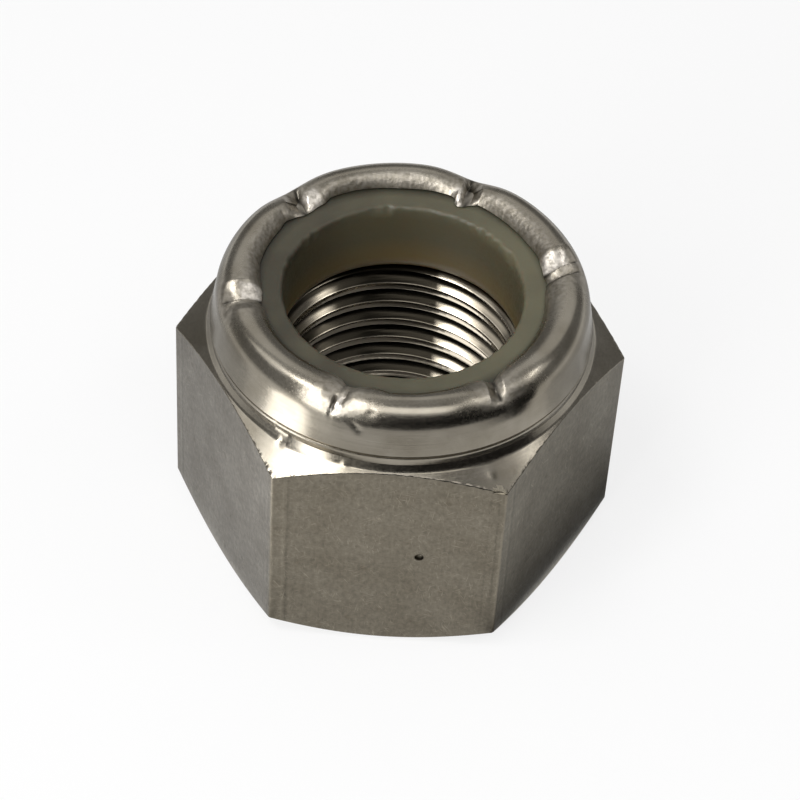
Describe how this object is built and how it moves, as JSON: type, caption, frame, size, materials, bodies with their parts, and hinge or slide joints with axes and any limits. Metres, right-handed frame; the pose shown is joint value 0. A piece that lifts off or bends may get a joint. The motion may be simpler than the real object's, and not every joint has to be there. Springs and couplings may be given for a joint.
{
  "type": "nylon insert lock nut",
  "caption": "Tall hexagonal steel lock nut whose round collar is rolled and crimped over a captive nylon ring that grips the bolt.",
  "frame": {"origin": "centre of the bearing face, on the thread's axis, where the nut stands", "axes": "+Z along the thread's axis towards the collar, +X through one corner of the hexagon"},
  "size_m": [0.022, 0.019, 0.0155],
  "materials": {
    "stainless_steel": "satin, turned and lightly tumbled",
    "nylon": "smooth, slightly translucent"
  },
  "bodies": {
    "root": {"nut_body": "stainless_steel", "insert_ring": "nylon"}
  },
  "joints": []
}
